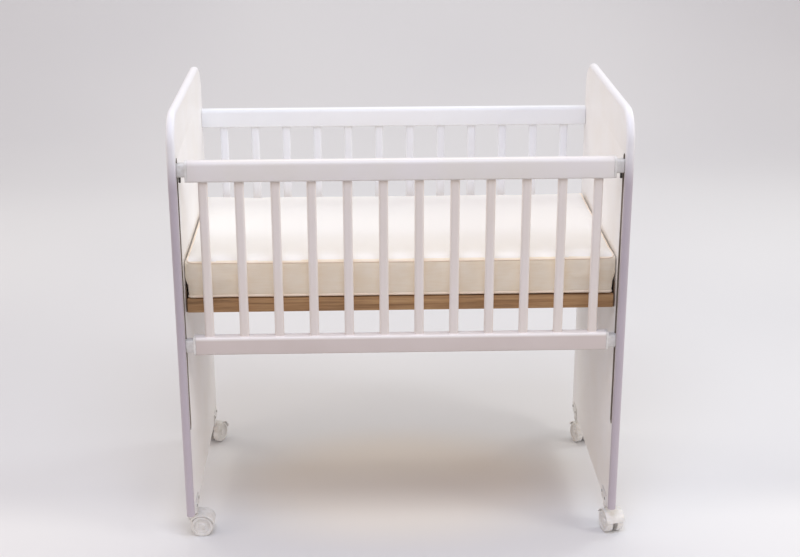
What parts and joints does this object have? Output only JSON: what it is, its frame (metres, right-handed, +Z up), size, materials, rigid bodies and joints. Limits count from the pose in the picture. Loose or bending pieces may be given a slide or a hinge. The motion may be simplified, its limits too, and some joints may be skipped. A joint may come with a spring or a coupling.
{
  "type": "baby crib",
  "caption": "Small white crib on casters: two tall end panels with rounded corners, slatted sides, a front gate that slides down, a slatted base and a mattress.",
  "frame": {"origin": "on the floor, under the middle of the end panels", "axes": "+X along the crib towards the right end panel, +Y towards the fixed back, +Z up; the drop gate faces -Y"},
  "size_m": [1.0031, 0.5655, 0.984],
  "materials": {
    "white_lacquer": "white satin lacquer over board and solid wood",
    "base_wood": "plain brown wood, unpainted",
    "white_plastic": "moulded white nylon",
    "caster_plastic": "milky translucent nylon",
    "dark_steel": "dark blackened steel",
    "zinc_steel": "dull zinc plated steel",
    "mattress_ticking": "smooth off-white ticking with sewn edge piping"
  },
  "bodies": {
    "crib": {"end_panel_left": "white_lacquer", "end_panel_right": "white_lacquer", "back_top_rail": "white_lacquer", "back_bottom_rail": "white_lacquer", "back_slat_01": "white_lacquer", "back_slat_02": "white_lacquer", "back_slat_03": "white_lacquer", "back_slat_04": "white_lacquer", "back_slat_05": "white_lacquer", "back_slat_06": "white_lacquer", "back_slat_07": "white_lacquer", "back_slat_08": "white_lacquer", "back_slat_09": "white_lacquer", "back_slat_10": "white_lacquer", "back_slat_11": "white_lacquer", "back_slat_12": "white_lacquer", "keeper_left": "dark_steel", "keeper_right": "dark_steel", "base_angle_left": "dark_steel", "base_angle_right": "dark_steel", "back_bolt_bottom_left": "zinc_steel", "back_bolt_bottom_right": "zinc_steel", "back_bolt_top_left": "zinc_steel", "back_bolt_top_right": "zinc_steel", "caster_plate_front_left": "zinc_steel", "caster_plate_front_right": "zinc_steel", "caster_plate_back_left": "zinc_steel", "caster_plate_back_right": "zinc_steel", "slatted_base": "base_wood", "mattress": "mattress_ticking"},
    "gate": {"gate_top_rail": "white_lacquer", "gate_bottom_rail": "white_lacquer", "gate_slat_01": "white_lacquer", "gate_slat_02": "white_lacquer", "gate_slat_03": "white_lacquer", "gate_slat_04": "white_lacquer", "gate_slat_05": "white_lacquer", "gate_slat_06": "white_lacquer", "gate_slat_07": "white_lacquer", "gate_slat_08": "white_lacquer", "gate_slat_09": "white_lacquer", "gate_slat_10": "white_lacquer", "gate_slat_11": "white_lacquer", "gate_slat_12": "white_lacquer", "slider_top_left": "white_plastic", "slider_top_right": "white_plastic", "slider_bottom_left": "white_plastic", "slider_bottom_right": "white_plastic", "latch_spring_left": "zinc_steel", "latch_spring_right": "zinc_steel"},
    "latch_left": {"latch_bolt_left": "dark_steel"},
    "latch_right": {"latch_bolt_right": "dark_steel"},
    "caster_front_left": {"caster_body_front_left": "caster_plastic"},
    "wheels_front_left": {"caster_wheels_front_left": "caster_plastic"},
    "caster_front_right": {"caster_body_front_right": "caster_plastic"},
    "wheels_front_right": {"caster_wheels_front_right": "caster_plastic"},
    "caster_back_left": {"caster_body_back_left": "caster_plastic"},
    "wheels_back_left": {"caster_wheels_back_left": "caster_plastic"},
    "caster_back_right": {"caster_body_back_right": "caster_plastic"},
    "wheels_back_right": {"caster_wheels_back_right": "caster_plastic"}
  },
  "joints": [
    {"name": "gate_slide", "type": "slide", "parent": "crib", "child": "gate", "axis": [0, 0, 1], "range_m": [-0.185, 0.01]},
    {"name": "latch_left_slide", "type": "slide", "parent": "gate", "child": "latch_left", "axis": [1, 0, 0], "range_m": [0, 0.0042], "stiffness_N_per_m": 600, "springref_m": -0.003, "deforming": ["latch_spring_left"]},
    {"name": "latch_right_slide", "type": "slide", "parent": "gate", "child": "latch_right", "axis": [-1, 0, 0], "range_m": [0, 0.0042], "stiffness_N_per_m": 600, "springref_m": -0.003, "deforming": ["latch_spring_right"]},
    {"name": "caster_front_left_swivel", "type": "hinge", "parent": "crib", "child": "caster_front_left", "pos_m": [-0.4735, -0.23, 0.067], "axis": [0, 0, 1], "continuous": true},
    {"name": "caster_front_left_roll", "type": "hinge", "parent": "caster_front_left", "child": "wheels_front_left", "pos_m": [-0.4535, -0.23, 0.025], "axis": [0, 1, 0], "continuous": true},
    {"name": "caster_front_right_swivel", "type": "hinge", "parent": "crib", "child": "caster_front_right", "pos_m": [0.4735, -0.23, 0.067], "axis": [0, 0, 1], "continuous": true},
    {"name": "caster_front_right_roll", "type": "hinge", "parent": "caster_front_right", "child": "wheels_front_right", "pos_m": [0.47868, -0.24932, 0.025], "axis": [0.9659, 0.2588, 0], "continuous": true},
    {"name": "caster_back_left_swivel", "type": "hinge", "parent": "crib", "child": "caster_back_left", "pos_m": [-0.4735, 0.23, 0.067], "axis": [0, 0, 1], "continuous": true},
    {"name": "caster_back_left_roll", "type": "hinge", "parent": "caster_back_left", "child": "wheels_back_left", "pos_m": [-0.46505, 0.24813, 0.025], "axis": [-0.9063, 0.4226, 0], "continuous": true},
    {"name": "caster_back_right_swivel", "type": "hinge", "parent": "crib", "child": "caster_back_right", "pos_m": [0.4735, 0.23, 0.067], "axis": [0, 0, 1], "continuous": true},
    {"name": "caster_back_right_roll", "type": "hinge", "parent": "caster_back_right", "child": "wheels_back_right", "pos_m": [0.47868, 0.21068, 0.025], "axis": [0.9659, 0.2588, 0], "continuous": true}
  ]
}
